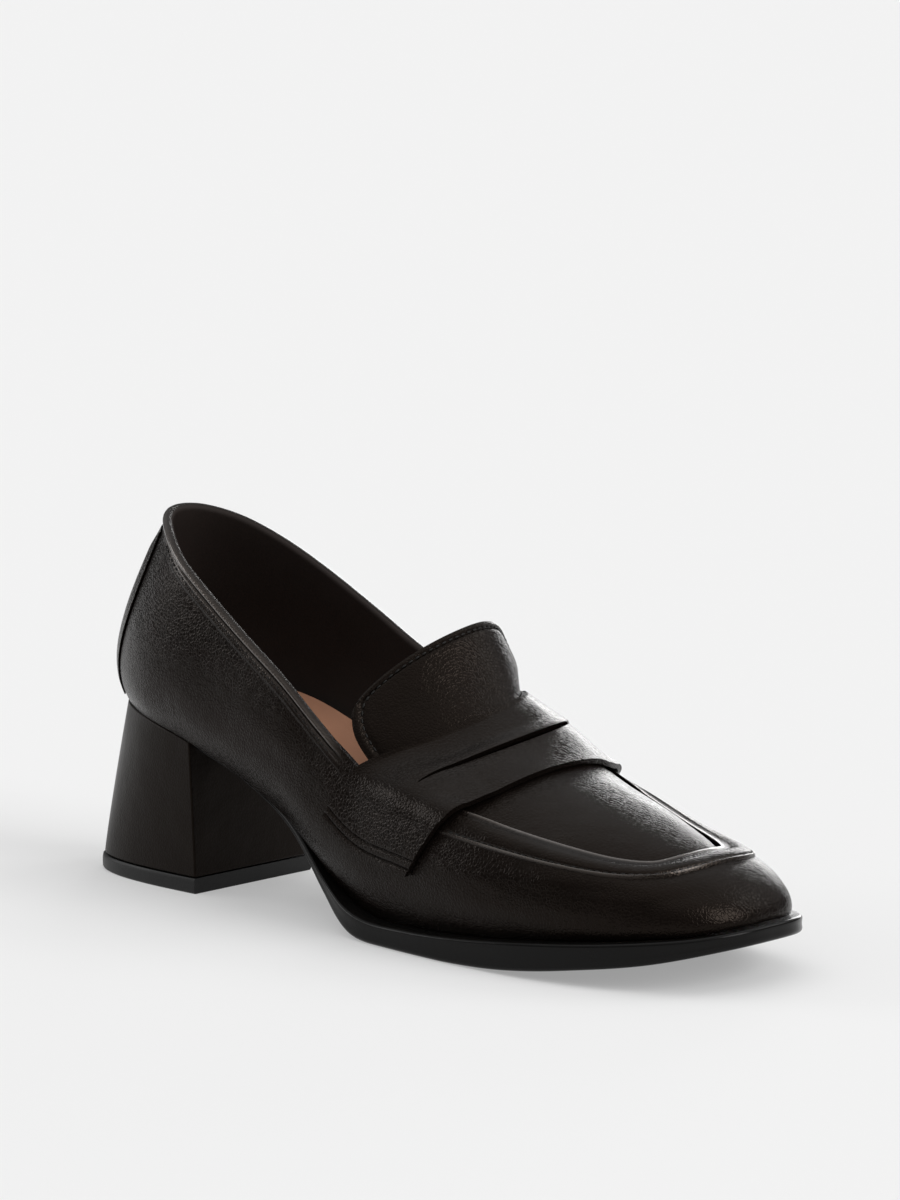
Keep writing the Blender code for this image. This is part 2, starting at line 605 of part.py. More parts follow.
def main():
    clear_scene()
    leather = make_material("black_leather", (0.012, 0.011, 0.010), 0.42)
    plug_leather = make_material("tongue_leather", (0.012, 0.011, 0.010), 0.44)
    strap_leather = make_material("strap_leather", (0.013, 0.012, 0.011), 0.42)
    stay_leather = make_material("backstay_leather", (0.012, 0.011, 0.010), 0.40)
    heel_leather = make_material("heel_cover", (0.012, 0.011, 0.010), 0.45)
    sole_rubber = make_material("sole_rubber", (0.010, 0.010, 0.010), 0.38)
    heel_rubber = make_material("top_piece_rubber", (0.010, 0.010, 0.010), 0.5)
    sock = make_material("sock_leather", (0.42, 0.27, 0.20), 0.6)
    pieces = [
        make_upper(leather),
        make_tongue(plug_leather),
        make_saddle_strap(strap_leather),
        make_backstay(stay_leather),
        make_outsole(sole_rubber),
        make_heel_block(heel_leather),
        make_top_piece(heel_rubber),
        make_insole(sock),
    ]
    stand_on_origin(pieces)


main()
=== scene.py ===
# Loafer pump, right shoe: leather, seams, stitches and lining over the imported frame
import math
import bmesh
import bpy
import numpy as np
from mathutils import Matrix, Vector, noise
from mathutils.bvhtree import BVHTree


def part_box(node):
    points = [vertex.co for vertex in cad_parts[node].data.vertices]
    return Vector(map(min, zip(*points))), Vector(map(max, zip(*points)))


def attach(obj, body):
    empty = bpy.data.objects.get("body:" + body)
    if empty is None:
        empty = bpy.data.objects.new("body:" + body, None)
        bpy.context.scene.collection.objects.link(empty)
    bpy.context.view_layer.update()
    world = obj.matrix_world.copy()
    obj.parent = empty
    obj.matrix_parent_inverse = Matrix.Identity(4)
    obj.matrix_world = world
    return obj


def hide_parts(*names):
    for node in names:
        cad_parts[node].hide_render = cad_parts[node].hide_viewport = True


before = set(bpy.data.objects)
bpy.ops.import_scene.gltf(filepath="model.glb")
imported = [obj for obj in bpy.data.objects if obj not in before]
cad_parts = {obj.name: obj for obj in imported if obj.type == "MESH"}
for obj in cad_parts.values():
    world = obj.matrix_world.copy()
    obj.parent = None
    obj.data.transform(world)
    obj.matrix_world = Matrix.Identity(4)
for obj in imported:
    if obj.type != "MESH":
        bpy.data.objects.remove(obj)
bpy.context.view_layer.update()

# The form is worked out in millimetres and moved to the frame, which the top piece gives
mm = 0.001
up = np.array([0.0, 0.0, 1.0])
topLow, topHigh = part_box("top_piece")
heelBackBase = -7.8
frameShift = np.array([topLow.x / mm - heelBackBase, (topLow.y + topHigh.y) / 2 / mm, 0.0])

# Sections of the last from the toe (0) round to the back of the heel (16), in millimetres
columns = (
    "featherX", "featherRight", "featherLeft", "featherZRight", "featherZLeft",
    "topX", "topRight", "topLeft", "topZRight", "topZLeft",
    "lowOut", "lowUp", "highOut", "highDown",
)
sections = (
    (243.0, 0.0, 0.0, 17.6, 17.6, 222.5, 0.0, 0.0, 33.2, 33.2, 2.0, 6.0, 8.0, 0.0),
    (241.6, 11.5, 10.5, 17.2, 17.2, 221.6, 9.5, 8.5, 32.8, 32.8, 2.0, 6.0, 8.0, 0.5),
    (235.0, 21.5, 19.5, 15.8, 15.8, 217.6, 18.0, 16.0, 32.0, 31.9, 2.5, 6.5, 8.0, 1.5),
    (224.0, 28.5, 26.0, 14.3, 14.3, 208.4, 24.8, 23.0, 32.8, 31.8, 3.0, 7.0, 8.0, 3.0),
    (208.0, 33.3, 30.5, 12.3, 12.3, 193.6, 29.2, 28.5, 35.0, 33.8, 4.0, 8.0, 7.5, 5.0),
    (188.0, 35.6, 33.5, 10.1, 10.1, 176.0, 31.8, 32.0, 37.8, 38.4, 5.0, 10.0, 7.0, 8.0),
    (167.0, 35.4, 32.5, 8.0, 8.0, 158.0, 33.5, 33.0, 41.0, 44.2, 5.5, 11.0, 6.0, 11.0),
    (146.0, 33.8, 29.5, 6.8, 6.8, 140.0, 32.5, 33.2, 43.8, 53.0, 6.0, 12.0, 5.0, 13.0),
    (126.0, 31.5, 25.0, 7.2, 8.5, 122.0, 30.5, 32.6, 46.8, 60.0, 7.0, 13.0, 4.0, 15.0),
    (107.0, 28.0, 22.5, 14.0, 16.5, 104.0, 29.5, 30.8, 58.5, 65.0, 8.0, 13.0, 3.0, 16.0),
    (86.0, 25.2, 21.5, 28.0, 31.0, 88.0, 29.0, 29.0, 70.6, 72.4, 8.5, 13.0, 2.5, 17.0),
    (64.0, 23.8, 22.0, 38.0, 40.5, 71.0, 27.5, 27.5, 80.8, 82.2, 8.5, 13.0, 2.5, 18.0),
    (43.0, 23.0, 22.8, 45.0, 46.0, 54.0, 25.0, 25.0, 90.8, 92.2, 8.5, 13.0, 3.0, 18.0),
    (24.0, 20.5, 20.5, 49.2, 49.6, 39.5, 21.5, 21.5, 99.0, 100.4, 8.5, 13.5, 4.6, 18.5),
    (10.5, 15.0, 15.0, 51.2, 51.3, 28.2, 15.5, 15.5, 105.6, 106.8, 8.2, 14.5, 6.4, 19.0),
    (1.5, 8.0, 8.0, 52.0, 52.0, 19.8, 8.0, 8.0, 109.8, 110.4, 7.8, 14.5, 8.6, 19.5),
    (-1.5, 0.0, 0.0, 52.3, 52.3, 16.8, 0.0, 0.0, 111.2, 111.2, 7.4, 14.5, 9.6, 19.5),
)
toeCorner, throat, breast, back = 2, 8, 12, 16
aroundCount = 2 * back

plugCentre = (
    (222.5, 0.0, 33.2), (213.0, 0.5, 36.6), (198.0, 1.5, 41.6), (181.0, 2.0, 46.0),
    (166.0, 2.5, 50.0), (153.0, 3.0, 55.6), (142.5, 3.5, 61.2),
)
tongueCentre = ((133.5, 4.5, 71.0), (124.5, 6.0, 83.8))
tongueRight = ((115.5, -28.0, 57.0), (110.0, -23.5, 67.5))
tongueLeft = ((121.5, 33.5, 69.0), (116.0, 32.0, 80.0))
crownPower = 2.2

seam = {"rimWidth": 2.6, "rimDrop": 1.9, "rimRise": 1.8, "kept": 5.1, "gone": 6.6}
collarFade = {"gone": 8.4, "kept": 8.8}


def curveThrough(rows, place, closed=False):
    # Catmull-Rom curve; place runs in rows when closed, and from 0 to 1 when open
    rows = np.array(rows, float)
    count = len(rows)
    place = np.asarray(place, float)
    if closed:
        first = np.floor(place).astype(int)
        step = (place - first)[..., None]
        before, start, end, after = (rows[(first + k) % count] for k in (-1, 0, 1, 2))
    else:
        along = np.clip(place, 0.0, 1.0) * (count - 1)
        first = np.minimum(np.floor(along).astype(int), count - 2)
        step = (along - first)[..., None]
        start, end = rows[first], rows[first + 1]
        atStart, atEnd = (first == 0)[..., None], (first == count - 2)[..., None]
        before = np.where(atStart, 2 * start - end, rows[np.maximum(first - 1, 0)])
        after = np.where(atEnd, 2 * end - start, rows[np.minimum(first + 2, count - 1)])
    return 0.5 * (
        2 * start
        + (end - before) * step
        + (2 * before - 5 * start + 4 * end - after) * step**2
        + (3 * start - before - 3 * end + after) * step**3
    )


def fade(value, gone, kept):
    return np.clip((np.asarray(value, float) - gone) / (kept - gone), 0.0, 1.0)


def softFade(value, gone, kept):
    share = fade(value, gone, kept)
    return share * share * (3 - 2 * share)


def hump(value, middle, width):
    return np.exp(-((value - middle) / width)**2)


def ringRows():
    rows = []
    for index in range(aroundCount):
        right = index <= back
        section = dict(zip(columns, sections[index if right else aroundCount - index]))
        side, sign = ("Right", -1.0) if right else ("Left", 1.0)
        rows.append((
            section["featherX"], sign * section["feather" + side], section["featherZ" + side],
            section["topX"], sign * section["top" + side], section["topZ" + side],
            section["lowOut"], section["lowUp"], section["highOut"], section["highDown"],
        ))
    return rows


ring = ringRows()


def feather(station):
    return curveThrough(ring, station, closed=True)[..., 0:3]


def topEdge(station):
    return curveThrough(ring, station, closed=True)[..., 3:6]


def outward(station):
    station = np.asarray(station, float)
    along = feather(station + 0.02) - feather(station - 0.02)
    out = np.stack([-along[..., 1], along[..., 0], np.zeros_like(along[..., 0])], -1)
    return out / np.linalg.norm(out, axis=-1, keepdims=True)


def wall(station, height):
    # Side of the last: height 0 at the sole, 1 at the top edge
    row = curveThrough(ring, station, closed=True)
    out = outward(station)
    low, high = row[..., 0:3], row[..., 3:6]
    lowHandle = low + out * row[..., 6:7] + up * row[..., 7:8]
    highHandle = high + out * row[..., 8:9] - up * row[..., 9:10]
    t = np.asarray(height, float)[..., None]
    return (1 - t)**3 * low + 3 * (1 - t)**2 * t * lowHandle + 3 * (1 - t) * t**2 * highHandle + t**3 * high


def wallLength(station):
    heights = np.linspace(0.0, 1.0, 61)
    points = wall(np.full_like(heights, station), heights)
    steps = np.linalg.norm(np.diff(points, axis=0), axis=1)
    return heights, np.concatenate([[0.0], np.cumsum(steps)])


def wallBelow(station, distances):
    # Points of one section at these distances below the top edge, measured along the wall
    heights, lengths = wallLength(station)
    t = np.interp(lengths[-1] - np.asarray(distances, float), lengths, heights)
    return wall(np.full_like(t, station), t)


def fromToe(station):
    station = np.mod(np.asarray(station, float), aroundCount)
    return np.abs(np.where(station > back, station - aroundCount, station))


def rim(station):
    # Border of the plug, inside the crest of the seam
    covered = fade(fromToe(station), seam["kept"], seam["gone"])
    point = topEdge(station) - outward(station) * seam["rimWidth"]
    point[..., 2] += seam["rimRise"] * covered - seam["rimDrop"] * (1 - covered)
    return point


def crowned(right, left, centre, across):
    share = ((1 + across) / 2)[..., None]
    bump = (1 - np.abs(across)**crownPower)[..., None]
    return right + (left - right) * share + (centre - (right + left) / 2) * bump


def plug(depth, across):
    # depth 0 at the toe and 1 at the throat, across -1 at the right and 1 at the left
    depth, across = np.broadcast_arrays(np.asarray(depth, float), np.asarray(across, float))
    station = toeCorner + (throat - toeCorner) * depth
    row = crowned(rim(station), rim(-station), curveThrough(plugCentre, depth), across)
    corner = np.full_like(depth, float(toeCorner))
    first = crowned(rim(corner), rim(-corner), curveThrough(plugCentre, corner * 0), across)
    return row + (rim(-toeCorner * across) - first) * ((1 - depth)**5)[..., None]


def tongueForm(rise, across):
    rise, across = np.broadcast_arrays(np.asarray(rise, float), np.asarray(across, float))
    lines = (
        (tuple(rim(throat)), *tongueRight),
        (tuple(rim(-throat)), *tongueLeft),
        (plugCentre[-1], *tongueCentre),
    )
    right, left, centre = (curveThrough(line, rise) for line in lines)
    return crowned(right, left, centre, across)


def topSurface(station, across):
    station = np.asarray(station, float)
    onPlug = plug(np.clip((station - toeCorner) / (throat - toeCorner), 0, 1), across)
    onTongue = tongueForm(np.clip((station - throat) * 0.6, 0, 1), across)
    return np.where((station > throat)[..., None], onTongue, onPlug)


def rough(points, size, seed):
    # Smooth noise between -1 and 1 over an array of points, size in millimetres
    flat = points.reshape(-1, 3) / size + seed
    values = [noise.noise(Vector(point)) for point in flat]
    return np.array(values).reshape(points.shape[:-1])


# Tools for sheets of leather

sheetLayers = ("low", "high", "polish")


def newSheets():
    bm = bmesh.new()
    for name in sheetLayers:
        bm.verts.layers.float.new(name)
    return bm


def addSheet(bm, points, low, high, skip=None, polish=None):
    # Grid through the points; low and high are the distances of its two faces from it
    rows, cols = points.shape[:2]
    lowLayer, highLayer, polishLayer = (bm.verts.layers.float[name] for name in sheetLayers)
    made = bmesh.ops.create_grid(bm, x_segments=cols - 1, y_segments=rows - 1, size=1.0)["verts"]
    for index, vert in enumerate(made):
        row, col = divmod(index, cols)
        vert.co = points[row, col]
        vert[lowLayer] = low[row, col]
        vert[highLayer] = high[row, col]
        vert[polishLayer] = 0.0 if polish is None else polish[row, col]
    if skip is not None:
        doomed = []
        for row in range(rows - 1):
            for col in range(cols - 1):
                if skip(row, col):
                    corner, across = made[row * cols + col], made[(row + 1) * cols + col + 1]
                    doomed += [face for face in corner.link_faces if across in face.verts]
        bmesh.ops.delete(bm, geom=doomed, context="FACES")


def thicken(bm, hint, soften=10, stretchLimit=1.2):
    # Welds the sheets and extrudes them into one closed wall; its inner faces get material 1
    bmesh.ops.remove_doubles(bm, verts=bm.verts, dist=0.01)
    bmesh.ops.recalc_face_normals(bm, faces=bm.faces)
    bm.normal_update()
    test = max(bm.verts, key=lambda vert: vert.co.dot(hint))
    if test.normal.dot(hint) < 0:
        bmesh.ops.reverse_faces(bm, faces=bm.faces)
        bm.normal_update()
    lowLayer, highLayer = bm.verts.layers.float["low"], bm.verts.layers.float["high"]
    soft = bm.copy()
    for _ in range(soften):
        bmesh.ops.smooth_vert(
            soft, verts=soft.verts, factor=0.5, use_axis_x=True, use_axis_y=True, use_axis_z=True,
        )
    soft.normal_update()
    places = []
    for vert, smoothed in zip(bm.verts, soft.verts):
        stretch = min(vert.calc_shell_factor(), stretchLimit)
        inner = smoothed.normal if vert[lowLayer] < 0 else vert.normal * stretch
        places.append((vert.co + inner * vert[lowLayer], vert.co + vert.normal * vert[highLayer] * stretch))
    soft.free()
    base = list(bm.verts)
    made = bmesh.ops.extrude_face_region(bm, geom=list(bm.faces), use_keep_orig=True)["geom"]
    copies = {vert.co.copy().freeze(): vert for vert in made if isinstance(vert, bmesh.types.BMVert)}
    for face in made:
        if isinstance(face, bmesh.types.BMFace):
            face.material_index = 1
    for vert, (lowPlace, highPlace) in zip(base, places):
        copies[vert.co.copy().freeze()].co = lowPlace
    for vert, (lowPlace, highPlace) in zip(base, places):
        vert.co = highPlace
    bmesh.ops.recalc_face_normals(bm, faces=bm.faces)


def makePiece(name, bm, materials):
    # Object of a mesh that is in the frame already
    mesh = bpy.data.meshes.new(name)
    bm.to_mesh(mesh)
    bm.free()
    mesh.shade_smooth()
    for material in materials:
        mesh.materials.append(material)
    made = bpy.data.objects.new(name, mesh)
    bpy.context.scene.collection.objects.link(made)
    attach(made, "root")
    print("made", name, len(mesh.polygons), "faces")
    return made


def finishPiece(name, bm, materials, node, sharp=0.9):
    # Moves the mesh from millimetres to the frame and puts it in the solid's place
    for vert in bm.verts:
        vert.co = (vert.co + Vector(frameShift)) * mm
    made = makePiece(name, bm, materials)
    made.data.set_sharp_from_angle(angle=sharp)
    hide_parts(node)
    return made


def roundEdges(piece, width, segments=2, angle=0.7):
    bevel = piece.modifiers.new("roundEdges", "BEVEL")
    bevel.width = width * mm
    bevel.segments = segments
    bevel.limit_method = "ANGLE"
    bevel.angle_limit = angle
    bevel.harden_normals = False


def loftLoops(loops, caps=(True, True)):
    bm = bmesh.new()
    rings = [[bm.verts.new(point) for point in loop] for loop in loops]
    edges = [[bm.edges.new((loop[k - 1], loop[k])) for k in range(len(loop))] for loop in rings]
    for near, far in zip(edges, edges[1:]):
        bmesh.ops.bridge_loops(bm, edges=near + far)
    for loop, wanted in ((rings[0], caps[0]), (rings[-1], caps[1])):
        if wanted:
            bm.faces.new(loop)
    bmesh.ops.recalc_face_normals(bm, faces=bm.faces)
    return bm


# Materials

def nodeMaker(material):
    nodes, links = material.node_tree.nodes, material.node_tree.links

    def add(kind, settings=None, **inputs):
        node = nodes.new(kind)
        for key, value in (settings or {}).items():
            setattr(node, key, value)
        for key, value in inputs.items():
            socket = node.inputs[key.replace("_", " ")]
            if isinstance(value, bpy.types.NodeSocket):
                links.new(value, socket)
            else:
                socket.default_value = value
        return node

    return add


# Heights of leather's grain and pores at full depth, in metres
grainHeight, poreHeight = 0.00020, 0.00006


def leather(name, look):
    # Grained leather: a pebbled grain, finer pores, slow waves and patches of roughness;
    # what is rubbed bright, by the attribute polish, gets a coat
    material = bpy.data.materials.new(name)
    material.use_nodes = True
    shader = material.node_tree.nodes["Principled BSDF"]
    add = nodeMaker(material)
    link = material.node_tree.links.new
    place = add("ShaderNodeTexCoord").outputs["Object"]
    warp = add("ShaderNodeTexNoise", Vector=place, Scale=look["grain"] * 0.35, Detail=2.0)
    bent = add("ShaderNodeMixRGB", Fac=look["warp"], Color1=place, Color2=warp.outputs["Color"])
    cells = add(
        "ShaderNodeTexVoronoi", {"feature": "DISTANCE_TO_EDGE"},
        Vector=bent.outputs["Color"], Scale=look["grain"],
    )
    creased = add("ShaderNodeMapRange", Value=cells.outputs["Distance"], From_Min=0.0, From_Max=0.22)
    pores = add("ShaderNodeTexNoise", Vector=place, Scale=look["grain"] * 2.6, Detail=3.0, Roughness=0.6)
    waves = add("ShaderNodeTexNoise", Vector=place, Scale=look["waves"], Detail=2.0)
    strength = add("ShaderNodeTexNoise", Vector=place, Scale=look["patches"], Detail=1.0)
    grainShare = add(
        "ShaderNodeMapRange", Value=strength.outputs["Fac"],
        From_Min=0.35, From_Max=0.65, To_Min=look["grainDepth"] * 0.7, To_Max=look["grainDepth"],
    )
    bumpWaves = add("ShaderNodeBump", Height=waves.outputs["Fac"], Distance=look["waveDepth"], Strength=1.0)
    bumpGrain = add(
        "ShaderNodeBump", Height=creased.outputs["Result"], Distance=grainHeight,
        Strength=grainShare.outputs["Result"], Normal=bumpWaves.outputs["Normal"],
    )
    bumpPores = add(
        "ShaderNodeBump", Height=pores.outputs["Fac"], Distance=poreHeight,
        Strength=look["poreDepth"], Normal=bumpGrain.outputs["Normal"],
    )
    link(bumpPores.outputs["Normal"], shader.inputs["Normal"])
    tone = add(
        "ShaderNodeMixRGB", Fac=waves.outputs["Fac"],
        Color1=(*look["dark"], 1.0), Color2=(*look["warm"], 1.0),
    )
    link(tone.outputs["Color"], shader.inputs["Base Color"])
    gloss = add(
        "ShaderNodeMapRange", Value=strength.outputs["Fac"],
        From_Min=0.3, From_Max=0.7, To_Min=look["roughness"][0], To_Max=look["roughness"][1],
    )
    link(gloss.outputs["Result"], shader.inputs["Roughness"])
    polish = add("ShaderNodeAttribute", {"attribute_name": "polish"}).outputs["Fac"]
    shine = add("ShaderNodeMapRange", Value=polish, To_Min=look["specular"], To_Max=look["polished"])
    link(shine.outputs["Result"], shader.inputs["Specular IOR Level"])
    shader.inputs["Specular Tint"].default_value = (1.0, 0.80, 0.66, 1.0)
    link(polish, shader.inputs["Coat Weight"])
    shader.inputs["Coat Roughness"].default_value = 0.18
    return material


def plainFinish(name, colour, roughness, specular, bumpScale, bumpDepth):
    material = bpy.data.materials.new(name)
    material.use_nodes = True
    shader = material.node_tree.nodes["Principled BSDF"]
    add = nodeMaker(material)
    link = material.node_tree.links.new
    place = add("ShaderNodeTexCoord").outputs["Object"]
    fine = add("ShaderNodeTexNoise", Vector=place, Scale=bumpScale, Detail=4.0)
    bump = add("ShaderNodeBump", Height=fine.outputs["Fac"], Distance=bumpDepth, Strength=1.0)
    link(bump.outputs["Normal"], shader.inputs["Normal"])
    patches = add("ShaderNodeTexNoise", Vector=place, Scale=55.0, Detail=3.0)
    tone = add(
        "ShaderNodeMixRGB", Fac=patches.outputs["Fac"],
        Color1=(*[c * 0.8 for c in colour], 1.0), Color2=(*[c * 1.2 for c in colour], 1.0),
    )
    link(tone.outputs["Color"], shader.inputs["Base Color"])
    gloss = add(
        "ShaderNodeMapRange", Value=patches.outputs["Fac"],
        From_Min=0.3, From_Max=0.7, To_Min=roughness - 0.05, To_Max=roughness + 0.07,
    )
    link(gloss.outputs["Result"], shader.inputs["Roughness"])
    shader.inputs["Specular IOR Level"].default_value = specular
    return material


calfLook = {
    "dark": (0.0026, 0.0018, 0.0015), "warm": (0.0050, 0.0034, 0.0027), "roughness": (0.19, 0.28),
    "grain": 950.0, "grainDepth": 0.36, "poreDepth": 0.25, "warp": 0.0009,
    "waves": 95.0, "waveDepth": 0.00035, "patches": 38.0, "specular": 0.11, "polished": 1.0,
}
coverLook = {
    **calfLook, "grainDepth": 0.16, "poreDepth": 0.15, "roughness": (0.30, 0.38), "waveDepth": 0.0002,
}
calf = leather("blackCalf", calfLook)
heelCalf = leather("heelCalf", coverLook)
edgePaint = plainFinish("paintedEdge", (0.006, 0.0055, 0.005), 0.5, 0.3, 2600.0, 0.00004)
liningFabric = plainFinish("blackLining", (0.022, 0.017, 0.015), 0.6, 0.10, 1700.0, 0.00006)
threadFinish = plainFinish("blackThread", (0.0065, 0.0056, 0.0050), 0.5, 0.25, 5200.0, 0.00005)
soleFinish = plainFinish("polishedSoleEdge", (0.0040, 0.0037, 0.0035), 0.22, 0.13, 420.0, 0.00005)
treadFinish = plainFinish("matteTread", (0.010, 0.010, 0.010), 0.62, 0.3, 2100.0, 0.00012)
rubberFinish = plainFinish("topPieceRubber", (0.008, 0.008, 0.008), 0.42, 0.3, 1500.0, 0.00005)
sockLook = {
    "dark": (0.36, 0.175, 0.105), "warm": (0.48, 0.245, 0.155), "roughness": (0.55, 0.68),
    "grain": 1500.0, "grainDepth": 0.25, "poreDepth": 0.2, "warp": 0.0006,
    "waves": 60.0, "waveDepth": 0.0002, "patches": 30.0, "specular": 0.25, "polished": 0.25,
}
sockLeather = leather("tanSock", sockLook)

# The upper: one wall with the moccasin ridge and the collar as relief

upperSizes = {
    "wall": 1.9, "edgeStep": 0.34, "edgeRows": 24, "lowRows": 30,
    "toeSteps": 44, "sideSteps": 64, "collarSteps": 136, "stripSteps": 15,
    "foldPitch": 2.6, "puckers": 0.16, "puckerBand": (5.0, 3.2), "cornerLeast": 0.35, "cornerWidth": 1.2,
    "collarPuckers": 0.20, "collarBand": (4.6, 1.3), "waves": 0.16, "wavesFrom": (7.0, 14.0),
    "plugWaves": 0.14, "calmSides": 6, "calmToe": 8,
}
# Bands that are rubbed bright: middle and width below the top edge, and how bright
collarShine = ((1.3, 0.7, 0.8), (3.9, 0.9, 0.35))
seamShine = ((5.9, 0.5, 0.6),)
# The same for the lip, in shares of the way in to the plug
lipShine = ((0.66, 0.12, 1.0),)
# The lining's edge is turned in under the piping: distance below the edge, and height
liningTurn = ((0.0, -0.9), (0.35, -1.5), (0.7, -1.75), (1.2, -upperSizes["wall"]))
# Distance below the top edge, and height of the leather over the wall
ridgeProfile = (
    (0.0, 0.15), (0.8, 0.5), (1.6, 0.82), (2.6, 1.02), (3.6, 1.08), (4.7, 1.0), (5.1, 0.85),
    (5.4, 0.42), (5.7, 0.82), (6.1, 0.9), (6.4, 0.75), (6.6, 0.0),
)
# From the crest in to the plug: share of the way, and height; the lip leans over the plug
lipProfile = (
    (0.0, 0.15), (0.15, 0.42), (0.3, 0.8), (0.45, 1.3), (0.56, 1.85), (0.64, 2.25), (0.7, 2.4), (0.76, 2.3),
    (0.83, 1.8), (0.9, 1.0), (1.0, 0.0),
)
pipingRoll = ((0.0, 0.2), (0.35, 0.85), (0.7, 1.15), (1.2, 1.3), (1.8, 1.2), (2.3, 0.8), (2.6, 0.2))
pipingProfile = (
    *pipingRoll, (2.8, -0.25), (3.0, 0.1), (3.4, 0.5), (4.1, 0.6), (4.5, 0.2), (4.9, 0.58), (5.6, 0.6),
    (6.0, 0.5), (6.3, 0.0),
)
backProfile = (*pipingRoll, (2.85, -0.2), (3.3, 0.0), (7.0, 0.0))


def profileAt(rows, below):
    rows = np.array(rows)
    return np.interp(below, rows[:, 0], rows[:, 1])


def bandsAt(bands, below):
    return sum(bright * hump(below, middle, width) for middle, width, bright in bands)


def seamShare(station):
    # 1 where the moccasin seam runs, 0 along the collar
    return 1 - fade(fromToe(station), seam["kept"], seam["gone"])


def collarShare(station):
    return softFade(fromToe(station), collarFade["gone"], collarFade["kept"])


def edgeRelief(station, below):
    toBack = softFade(fromToe(station), breast, breast + 2)
    piping = profileAt(pipingProfile, below) * (1 - toBack) + profileAt(backProfile, below) * toBack
    return profileAt(ridgeProfile, below) * seamShare(station) + piping * collarShare(station)


# Station, millimetres below the seam, length in stations, width in millimetres, depth
creases = (
    (2.6, 17.0, 1.3, 2.6, 0.32), (3.9, 14.0, 1.2, 2.2, 0.25), (3.3, 22.0, 1.6, 2.4, 0.22),
    (4.9, 19.0, 1.0, 3.0, 0.22), (-3.2, 16.0, 1.4, 2.6, 0.28), (-4.4, 20.0, 1.2, 2.8, 0.22),
    (9.6, 22.0, 0.9, 5.0, 0.35), (10.6, 28.0, 1.0, 6.0, 0.35), (-9.8, 22.0, 0.9, 5.0, 0.35),
)


def wallCreases(station, below):
    # Soft troughs that the last leaves round the toe and along the quarters
    depth = np.zeros(np.broadcast(station, below).shape)
    signed = np.where(station > back, station - aroundCount, station)
    for middle, low, length, width, deep in creases:
        lean = low + 2.0 * np.sin((signed - middle) * 1.7)
        depth -= deep * np.exp(-((signed - middle) / length)**2 - ((below - lean) / width)**2)
    return depth


def makeUpper():
    size = upperSizes
    toe = np.linspace(-toeCorner, toeCorner, size["toeSteps"] + 1)
    side = np.linspace(toeCorner, throat, size["sideSteps"] + 1)
    collar = np.linspace(throat, aroundCount - throat, size["collarSteps"] + 1)
    stations = np.concatenate([toe[:-1], side[:-1], collar[:-1], aroundCount - side[::-1]])
    edgeRows = np.arange(size["edgeRows"]) * size["edgeStep"]
    points, belows = [], []
    for station in stations:
        length = wallLength(station)[1][-1]
        lower = edgeRows[-1] + (length - edgeRows[-1]) * np.linspace(0, 1, size["lowRows"] + 1)[1:]
        belows.append(np.concatenate([edgeRows, lower]))
        points.append(wallBelow(station, belows[-1]))
    points, belows = np.array(points), np.array(belows)
    grid = np.broadcast_to(stations[:, None], belows.shape)
    place, onSeam, onCollar = fromToe(grid), seamShare(grid), collarShare(grid)
    high = edgeRelief(grid, belows) + wallCreases(grid, belows)
    # Puckers: small folds square to the seams, strongest at the toe corners
    folds = rough(points * np.array([1, 1, 0.25]), size["foldPitch"], 11.0)
    least = size["cornerLeast"]
    cornered = least + (1 - least) * hump(place, toeCorner, size["cornerWidth"])
    high += size["puckers"] * folds * hump(belows, *size["puckerBand"]) * cornered * onSeam
    forward = 1 - softFade(place, breast + 1, breast + 3)
    high += size["collarPuckers"] * folds * hump(belows, *size["collarBand"]) * onCollar * forward
    high += size["waves"] * rough(points, 17.0, 3.0) * fade(belows, *size["wavesFrom"])
    inside = profileAt(liningTurn, edgeRows)
    low = np.full(high.shape, -size["wall"])
    low[:, :len(inside)] = inside * onCollar[:, :1] - size["wall"] * (1 - onCollar[:, :1])
    polish = onCollar * bandsAt(collarShine, belows) + onSeam * bandsAt(seamShine, belows)
    bm = newSheets()
    addSheet(bm, points, low, high, polish=polish)

    # The crest's inner side down to the plug
    front = np.concatenate([-side[::-1], toe[1:-1], side])
    share = np.linspace(0, 1, size["stripSteps"] + 1)
    strip = topEdge(front)[:, None] + (rim(front) - topEdge(front))[:, None] * share[None, :, None]
    onRidge = seamShare(front)[:, None]
    stripHigh = profileAt(lipProfile, share)[None, :] * onRidge
    lipPolish = bandsAt(lipShine, share)[None, :] * onRidge
    addSheet(bm, strip, np.full(stripHigh.shape, -size["wall"]), stripHigh, polish=lipPolish)

    depths, acrosses = np.linspace(0, 1, size["sideSteps"] + 1), np.linspace(-1, 1, size["toeSteps"] + 1)
    depth, across = np.meshgrid(depths, acrosses, indexing="ij")
    plugPoints = plug(depth, across)
    calm = np.minimum(1, size["calmSides"] * (1 - np.abs(across))) * np.minimum(1, size["calmToe"] * depth)
    plugHigh = size["plugWaves"] * rough(plugPoints, 19.0, 7.0) * calm
    addSheet(bm, plugPoints, np.full(depth.shape, -size["wall"]), plugHigh)
    thicken(bm, Vector((0, 0, 1)))
    return finishPiece("upperLeather", bm, [calf, liningFabric], "upper")


upper = makeUpper()

# The tongue

tongueSizes = {
    "wall": 1.9, "shoulder": 0.40, "start": 0.015, "halfWidth": 30.0, "height": 28.0,
    "bead": 0.4, "beadBand": (0.8, 0.7), "groove": 0.4, "grooveBand": (1.8, 0.4), "waves": 0.12,
    "rows": 60, "columns": 72,
}


def tongueReach(across):
    shoulder = tongueSizes["shoulder"]
    return 1 - shoulder + shoulder * (1 - np.abs(across)**4)**0.25


